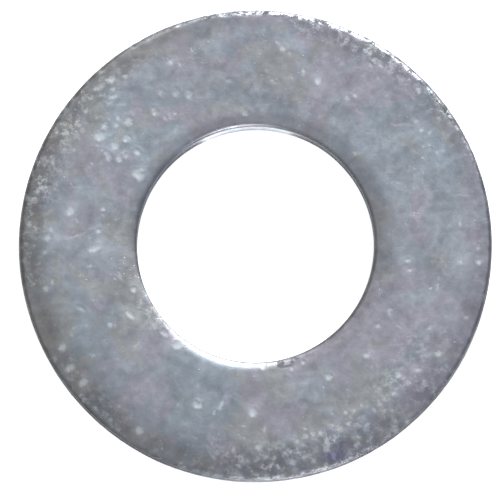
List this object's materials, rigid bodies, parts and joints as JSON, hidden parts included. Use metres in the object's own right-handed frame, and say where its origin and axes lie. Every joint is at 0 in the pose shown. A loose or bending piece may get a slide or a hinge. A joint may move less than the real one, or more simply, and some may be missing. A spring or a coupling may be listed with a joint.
{
  "type": "flat washer",
  "caption": "Plain round flat washer of zinc-plated steel: a thin flat ring with rolled top edges that spreads the load of a bolt head or nut.",
  "frame": {"origin": "centre of the bottom face, on the hole's axis", "axes": "+Z along the hole's axis, from the bottom face to the top face, which has the rolled edges; X and Y lie in the bottom face and are equivalent"},
  "size_m": [0.027, 0.027, 0.0024],
  "materials": {
    "zinc_steel": "satin"
  },
  "bodies": {
    "root": {"washer": "zinc_steel"}
  },
  "joints": []
}
